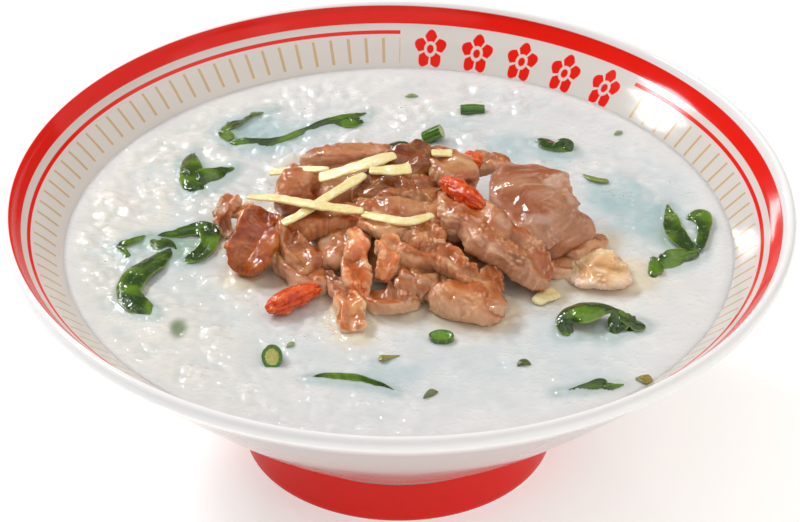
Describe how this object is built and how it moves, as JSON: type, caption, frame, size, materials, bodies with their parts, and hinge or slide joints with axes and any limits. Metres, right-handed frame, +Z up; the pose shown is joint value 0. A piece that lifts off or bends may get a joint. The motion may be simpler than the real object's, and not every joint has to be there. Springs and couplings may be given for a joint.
{
  "type": "congee bowl",
  "caption": "Flared footed porcelain bowl filled with rice congee, topped with sliced pork, goji berries, ginger strips, leafy greens and cut chives.",
  "frame": {"origin": "centre of the foot's bottom plane", "axes": "+Z up along the bowl's axis, -Y towards the diner, +X to the diner's right"},
  "size_m": [0.23, 0.23, 0.0876],
  "materials": {
    "glazed_porcelain": "glossy glaze, printed red band, thin red line and gold ticks inside the rim, red foot",
    "rice_congee": "wet, thick and slightly translucent",
    "cooked_pork": "wet cooked meat",
    "goji_berry": "wet wrinkled skin",
    "ginger": "moist cut fibre",
    "green_leaf": "wet leaf",
    "chive": "wet cut stem"
  },
  "bodies": {
    "root": {"bowl": "glazed_porcelain", "chive_chip_front": "chive", "chive_chip_near": "chive", "chive_chip_rim": "chive", "chive_cut_front": "chive", "chive_cut_left": "chive", "chive_piece_back": "chive", "chive_sliver_right": "chive", "chive_stub_back": "chive", "congee": "rice_congee", "ginger_a": "ginger", "ginger_b": "ginger", "ginger_bit": "ginger", "ginger_c": "ginger", "ginger_d": "ginger", "ginger_e": "ginger", "ginger_f": "ginger", "ginger_g": "ginger", "goji_back": "goji_berry", "goji_front": "goji_berry", "goji_top": "goji_berry", "leaf_back_left": "green_leaf", "leaf_back_left_fold": "green_leaf", "leaf_back_right": "green_leaf", "leaf_behind_heap": "green_leaf", "leaf_front_edge": "green_leaf", "leaf_front_left": "green_leaf", "leaf_front_right": "green_leaf", "leaf_left": "green_leaf", "leaf_left_tip": "green_leaf", "leaf_right": "green_leaf", "pork_back_inner": "cooked_pork", "pork_back_left": "cooked_pork", "pork_back_ridge": "cooked_pork", "pork_back_right": "cooked_pork", "pork_bumpy_a": "cooked_pork", "pork_bumpy_b": "cooked_pork", "pork_crown": "cooked_pork", "pork_crown_front": "cooked_pork", "pork_crown_right": "cooked_pork", "pork_front_left": "cooked_pork", "pork_front_lobe_a": "cooked_pork", "pork_front_lobe_b": "cooked_pork", "pork_front_mid": "cooked_pork", "pork_front_right": "cooked_pork", "pork_front_small": "cooked_pork", "pork_hidden": "cooked_pork", "pork_left_curl": "cooked_pork", "pork_left_fold": "cooked_pork", "pork_left_foot": "cooked_pork", "pork_left_slab": "cooked_pork", "pork_long": "cooked_pork", "pork_middle": "cooked_pork", "pork_pink_lobe": "cooked_pork", "pork_ridge": "cooked_pork", "pork_right": "cooked_pork", "pork_slab": "cooked_pork", "pork_tail": "cooked_pork"}
  },
  "joints": []
}
